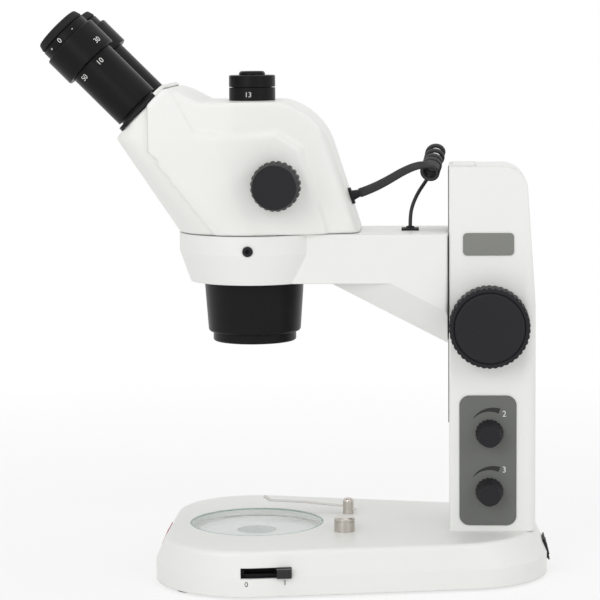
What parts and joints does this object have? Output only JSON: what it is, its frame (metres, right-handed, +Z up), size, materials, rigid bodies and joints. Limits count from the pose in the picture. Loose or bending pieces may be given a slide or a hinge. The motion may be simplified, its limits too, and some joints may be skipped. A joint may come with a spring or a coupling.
{
  "type": "stereo microscope",
  "caption": "White trinocular stereo microscope with fluted black knobs, coiled cable and a glass stage plate on a lit base",
  "frame": {"origin": "Centre of the bounding box in plan, on the ground under the feet", "axes": "X from the user to the pillar, Y across the eye tubes, Z up"},
  "size_m": [0.3539, 0.201, 0.3986],
  "materials": {
    "case_white": "satin off-white enamel on cast metal",
    "case_black": "satin black, fine grain",
    "gloss_black": "glossy black moulding",
    "plate_grey": "warm grey face plate",
    "badge_red": "plain red inlay",
    "steel": "machined steel",
    "aluminium": "turned aluminium",
    "brass": "machined brass",
    "rubber": "moulded rubber",
    "glass": "clear polished glass",
    "board": "glass fibre board",
    "cable": "grey-black flat coiled cable"
  },
  "bodies": {
    "stand": {"base_housing": "case_white", "base_plate": "steel", "base_feet": "rubber", "stand_screws": "steel", "light_pan": "case_black", "light_window": "glass", "lamp_board": "board", "front_badge": "badge_red", "lever_switch": "case_black", "switch_frame": "case_black", "power_jack": "case_black", "clip_stud": "steel", "pillar_housing": "case_white", "slide_strip": "plate_grey", "guide_rails": "steel", "shaft_bushes": "brass", "face_plates": "plate_grey", "dimmer_pots": "plate_grey"},
    "arm": {"focus_arm": "case_white", "arm_slide": "steel", "arm_screws": "steel", "focus_rack": "brass", "head_housing": "case_white", "eye_plate": "case_black", "nose_cone": "case_black", "nose_ring": "case_black", "objective_glass": "glass", "zoom_barrels": "aluminium", "erecting_prisms": "glass", "photo_tube": "case_black", "cord_gland": "case_black", "cord_coil": "cable", "cord_upper": "cable", "cord_lower": "cable", "cord_grommet": "case_black"},
    "focus_drive": {"focus_shaft": "steel", "focus_knob_near": "case_black", "focus_knob_far": "case_black"},
    "clamp": {"clamp_screw": "case_black"},
    "zoom_drive": {"zoom_shaft": "steel", "zoom_knob_near": "case_black", "zoom_knob_far": "case_black"},
    "tube_near": {"eye_tube_near": "case_black"},
    "tube_far": {"eye_tube_far": "case_black"},
    "ocular_near": {"eyepiece_near": "case_black", "eye_lens_near": "glass", "eyecup_near": "rubber"},
    "ocular_far": {"eyepiece_far": "case_black", "eye_lens_far": "glass", "eyecup_far": "rubber"},
    "dial_near": {"dioptre_dial_near": "case_black"},
    "dial_far": {"dioptre_dial_far": "case_black"},
    "port_cap": {"photo_cap": "case_black"},
    "dimmer_lower": {"light_knob_lower": "case_black"},
    "dimmer_upper": {"light_knob_upper": "case_black"},
    "lever": {"light_lever": "gloss_black"},
    "rocker": {"power_rocker": "gloss_black"},
    "clip": {"clip_post": "steel", "clip_spring": "steel"},
    "stage": {"stage_plate": "glass"}
  },
  "joints": [
    {"name": "focus_travel", "type": "slide", "parent": "stand", "child": "arm", "axis": [0, 0, 1], "range_m": [-0.05, 0.043]},
    {"name": "focus_turn", "type": "hinge", "parent": "stand", "child": "focus_drive", "pos_m": [0.1352, 0, 0.1794], "axis": [0, 1, 0], "range_deg": [-359, 309]},
    {"name": "clamp_turn", "type": "hinge", "parent": "arm", "child": "clamp", "pos_m": [-0.031, -0.049, 0.233], "axis": [0, 1, 0], "range_deg": [-360, 360]},
    {"name": "zoom_turn", "type": "hinge", "parent": "arm", "child": "zoom_drive", "pos_m": [-0.0108, 0, 0.2784], "axis": [0, 1, 0], "range_deg": [-150, 150]},
    {"name": "eye_swing_near", "type": "hinge", "parent": "arm", "child": "tube_near", "pos_m": [-0.10563, -0.0315, 0.33552], "axis": [-0.7071, 0, 0.7071], "range_deg": [-46, 81]},
    {"name": "eye_swing_far", "type": "hinge", "parent": "arm", "child": "tube_far", "pos_m": [-0.10563, 0.0315, 0.33552], "axis": [-0.7071, 0, 0.7071], "range_deg": [-81, 46]},
    {"name": "ocular_lift_near", "type": "slide", "parent": "tube_near", "child": "ocular_near", "axis": [-0.7071, 0, 0.7071], "range_m": [0, 0.04]},
    {"name": "ocular_lift_far", "type": "slide", "parent": "tube_far", "child": "ocular_far", "axis": [-0.7071, 0, 0.7071], "range_m": [0, 0.04]},
    {"name": "dioptre_turn_near", "type": "hinge", "parent": "ocular_near", "child": "dial_near", "pos_m": [-0.15708, -0.03, 0.38023], "axis": [-0.7071, 0, 0.7071], "range_deg": [-150, 150]},
    {"name": "dioptre_turn_far", "type": "hinge", "parent": "ocular_far", "child": "dial_far", "pos_m": [-0.15708, 0.03, 0.38023], "axis": [-0.7071, 0, 0.7071], "range_deg": [-150, 150]},
    {"name": "port_cap_lift", "type": "slide", "parent": "arm", "child": "port_cap", "axis": [0, 0, 1], "range_m": [0, 0.03]},
    {"name": "dimmer_turn_lower", "type": "hinge", "parent": "stand", "child": "dimmer_lower", "pos_m": [0.1353, -0.039, 0.0618], "axis": [0, 1, 0], "range_deg": [0, 270]},
    {"name": "dimmer_turn_upper", "type": "hinge", "parent": "stand", "child": "dimmer_upper", "pos_m": [0.1353, -0.039, 0.1032], "axis": [0, 1, 0], "range_deg": [0, 270]},
    {"name": "lever_travel", "type": "slide", "parent": "stand", "child": "lever", "axis": [-0.9925, -0.1219, 0], "range_m": [0, 0.024]},
    {"name": "rocker_tilt", "type": "hinge", "parent": "stand", "child": "rocker", "pos_m": [0.1752, 0, 0.016], "axis": [0, 1, 0], "range_deg": [-6, 6]},
    {"name": "clip_swivel", "type": "hinge", "parent": "stand", "child": "clip", "pos_m": [0.0334, 0.03, 0.038], "axis": [0, 0, 1], "range_deg": [-90, 60]},
    {"name": "stage_lift", "type": "slide", "parent": "stand", "child": "stage", "axis": [0, 0, 1], "range_m": [0, 0.004]}
  ],
  "couplings": [
    {"joint": "focus_turn", "follows": "focus_travel", "rad_per_m": 125},
    {"joint": "eye_swing_far", "follows": "eye_swing_near", "ratio": -1}
  ]
}
